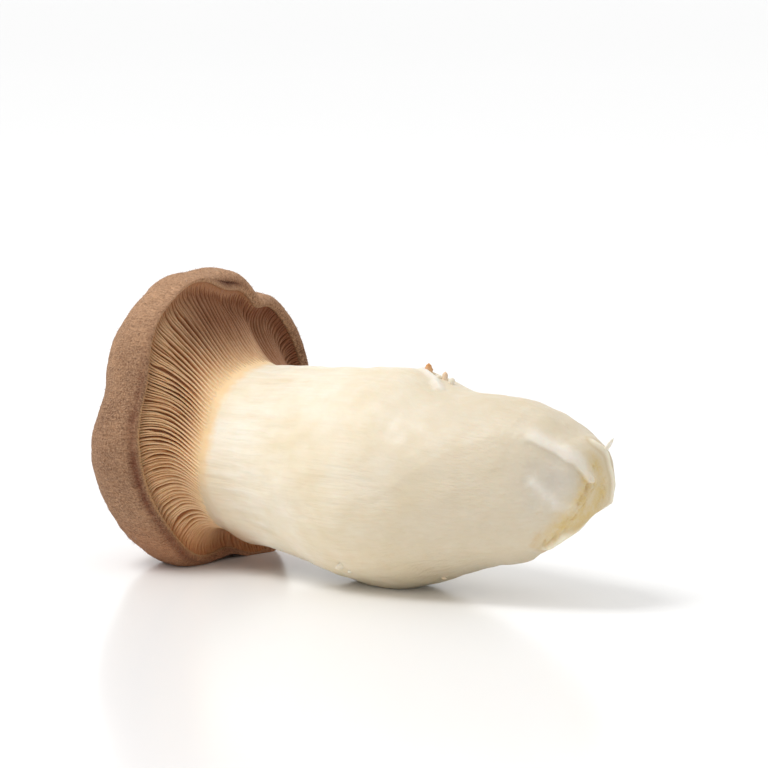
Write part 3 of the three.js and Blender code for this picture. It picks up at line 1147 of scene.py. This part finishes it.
# %% Gill finish
def gill_material():
    material, tree, shader = finish_for(
        "gill_flesh",
        Subsurface_Weight=0.2,
        Subsurface_Radius=(1.0, 0.5, 0.25),
        Subsurface_Scale=0.6 * MM,
        Specular_IOR_Level=0.3,
    )
    clouds = effect(tree, MOTTLE, Broad_mm=6.0, Fine_mm=0.9)
    height, run = noted(tree, "gill_height"), noted(tree, "gill_run")
    edge = mixed(tree, clouds["Broad"], screen(248, 214, 172), screen(236, 198, 152))
    side = mixed(tree, graded(tree, run, 0.5, 0.95), screen(220, 158, 104), screen(236, 194, 146))
    # The sides darken from the edge towards the root: partly the gill's own colour, partly painted shade
    # between the blades.
    colour = mixed(tree, graded(tree, height, 0.25, 0.8), side, edge)
    aside = sides_of(tree)["Y"]
    # Painted shade on the far side of the hollow and high under the rim, where the light is blocked.
    far = times(tree, graded(tree, aside, -8 * MM, 10 * MM, 0, 0.82), by_height(tree, 24, 36))
    top = times(tree, by_height(tree, 40, 56, 0, 0.85), graded(tree, aside, -26 * MM, -6 * MM, 0.2, 1))
    colour = coats(
        tree,
        colour,
        (graded(tree, run, 0.7, 1.05), 1, (244, 212, 170)),
        (graded(tree, run, 0.3, 0.05), 0.65, (134, 84, 50)),
        (clouds["Fine"], 0.15, (160, 112, 72)),
        # Painted shade of the far side and under the rim.
        (calc(tree, "MAXIMUM", far, top), 1, (124, 68, 36)),
        (by_height(tree, 14, 4), 0.5, (222, 146, 86)),
    )
    dress(tree, shader, colour, graded(tree, clouds["Fine"], 0, 1, 0.5, 0.7), clouds["Fine"], 0.05)
    return material


gill_flesh = gill_material()
print("made", gill_flesh.name)

# %% [markdown]
# ## Torn skin finish
#
# Fresh shreds are as white as the flesh, and dried ones turn orange brown from the tip down. The mesh
# notes how far each has browned.

# %% Torn finish
def torn_material():
    material, tree, shader = finish_for(
        "torn_flesh", Subsurface_Weight=0.1, Subsurface_Radius=(1.0, 0.6, 0.4), Subsurface_Scale=1.5 * MM
    )
    clouds = effect(tree, MOTTLE, Broad_mm=1.5, Fine_mm=0.5)
    fresh = mixed(tree, clouds["Broad"], screen(246, 240, 228), screen(236, 222, 194))
    dried = mixed(tree, clouds["Fine"], screen(230, 162, 72), screen(192, 126, 60))
    colour = mixed(tree, noted(tree, "browned"), fresh, dried)
    dress(tree, shader, colour, graded(tree, clouds["Fine"], 0, 1, 0.5, 0.7), clouds["Fine"], 0.1)
    return material


torn.data.materials.append(torn_material())
print("made", torn.data.materials[0].name)

# %% [markdown]
# ## Growing the gills
#
# The modifier gets its inputs by each socket's identifier, and only then is the object evaluated. The
# result is kept as a plain mesh and the modifier goes, so nothing is left to run later.

# %% Grow
def grow(piece, tree, **inputs):
    modifier = piece.modifiers.new("grow", "NODES")
    modifier.node_group = tree
    for item in tree.interface.items_tree:
        if item.in_out == "INPUT" and item.name.replace(" ", "_") in inputs:
            modifier[item.identifier] = inputs[item.name.replace(" ", "_")]
    graph = bpy.context.evaluated_depsgraph_get()
    grown = bpy.data.meshes.new_from_object(
        piece.evaluated_get(graph), preserve_all_data_layers=True, depsgraph=graph
    )
    piece.modifiers.clear()
    piece.data = grown
    for point in grown.vertices:
        point.co.z = max(point.co.z, low.z)
    print(f"{piece.name}: {len(grown.polygons)} faces")


grow(gills, blade_tree, Blades=BLADES, Material=gill_flesh)
cap.data.materials.append(felt)
flesh.data.materials.append(white)

# %% [markdown]
# ## Hairs of the felt
#
# The felt is made of fine hairs that lie flat and point to the margin, with a few that stand up and show
# against the light. Bump gives their grain, but the outline of the cap needs real ones. Geometry Nodes
# scatter thin three-sided cones over the skin, tilt each by its own random amount, and leave the closed
# back of the mesh bare.

# %% Felt hairs
def hair_tree():
    sockets = {
        "Hairs per cm2": ("Float", 80.0),
        "Length": ("Float", 0.7 * MM),
        "Width": ("Float", 0.06 * MM),
        "Seed": ("Int", 5),
        "Material": ("Material", None),
    }
    tree, given = geometry_tree("felt_hairs", sockets)
    to_margin = read(tree, "to_margin")
    outside = node(tree, "FunctionNodeCompare", {0: to_margin, 1: 0.8}, operation="GREATER_THAN")
    scatter = node(
        tree,
        "GeometryNodeDistributePointsOnFaces",
        {
            "Mesh": given["Geometry"],
            "Selection": outside.outputs[0],
            "Density": times(tree, given["Hairs per cm2"], 10000),
            "Seed": given["Seed"],
        },
    )
    cone = node(
        tree,
        "GeometryNodeMeshCone",
        {
            "Vertices": 3,
            "Side Segments": 1,
            "Radius Top": times(tree, given["Width"], 0.1),
            "Radius Bottom": times(tree, given["Width"], 0.5),
            "Depth": given["Length"],
        },
    )

    def random_vector(lowest, highest, salt):
        fill = {"Seed": plus(tree, given["Seed"], salt), 0: lowest, 1: highest}
        return node(tree, "FunctionNodeRandomValue", fill, data_type="FLOAT_VECTOR").outputs[0]

    # Each hair leans from upright towards the base of the mushroom, and a little to either side.
    strewn = random_vector((0.0, -1.4, -1.4), (2.4, 1.4, 1.4), 1)
    aim = node(tree, "ShaderNodeVectorMath", {0: scatter.outputs["Normal"], 1: strewn}, operation="ADD")
    turned = node(tree, "FunctionNodeAlignRotationToVector", {"Vector": aim.outputs[0]}, axis="Z")
    size = random_vector((0.8, 0.8, 0.4), (1.2, 1.2, 1.2), 2)
    hairs = node(
        tree,
        "GeometryNodeInstanceOnPoints",
        {
            "Points": scatter.outputs["Points"],
            "Instance": cone.outputs["Mesh"],
            "Rotation": turned.outputs[0],
            "Scale": size,
        },
    )
    give(tree, hairs.outputs[0], given["Material"])
    return tree


hairs = add_object("felt_hairs", cap.data.copy())
grow(hairs, hair_tree(), Material=felt)

# %% [markdown]
# ## Floor and light
#
# A glossy white table, a white room, and one large lamp from the upper left. The room fills the shadows,
# and the lamp shapes the stem.

# %% Floor
bpy.ops.mesh.primitive_plane_add(size=40, location=(0, 0, low.z - 0.02 * MM))
floor = bpy.context.object
floor.name = "floor"
table = finish_for(
    "white_table",
    Base_Color=(0.95, 0.95, 0.95, 1),
    Roughness=0.18,
    Specular_IOR_Level=0.13,
)
floor.data.materials.append(table[0])

# %% Light
ROOM_FILL = 0.74  # what lights the flesh
ROOM_SEEN = 1.15  # what the camera and the table's gloss see
world = bpy.data.worlds.new("white_room")
world.use_nodes = True
sky = world.node_tree.nodes["Background"]
rays = world.node_tree.nodes.new("ShaderNodeLightPath").outputs
seen = calc(world.node_tree, "MAXIMUM", rays["Is Camera Ray"], rays["Is Glossy Ray"])
seen = calc(world.node_tree, "MULTIPLY", seen, ROOM_SEEN - ROOM_FILL)
sky.inputs["Color"].default_value = (1, 1, 1, 1)
world.node_tree.links.new(calc(world.node_tree, "ADD", ROOM_FILL, seen), sky.inputs["Strength"])
bpy.context.scene.world = world


def lamp(name, azimuth, pitch, distance, size, watts):
    """A square lamp that faces the mushroom, placed by its bearing as the camera is."""
    a, p = math.radians(azimuth), math.radians(pitch)
    aim = Vector((math.sin(a) * math.cos(p), -math.cos(a) * math.cos(p), math.sin(p)))
    made = add_object(name, bpy.data.lights.new(name, "AREA"))
    made.data.size = size
    made.data.energy = watts
    made.location = look_at + aim * distance
    made.rotation_euler = (-aim).to_track_quat("-Z", "Y").to_euler()


lamp("key", -34, 60, 2.0, 0.8, 20.5)
bpy.context.scene.view_settings.view_transform = "Standard"

# %% [markdown]
# ## Attach to the body
#
# Every piece rides on the one body.

# %% Attach to the body
slots = {cap: "cap_skin", hairs: "cap_skin", flesh: "flesh", torn: "flesh", gills: "gills"}
for piece, slot in slots.items():
    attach(piece, "root")
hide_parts("mushroom")
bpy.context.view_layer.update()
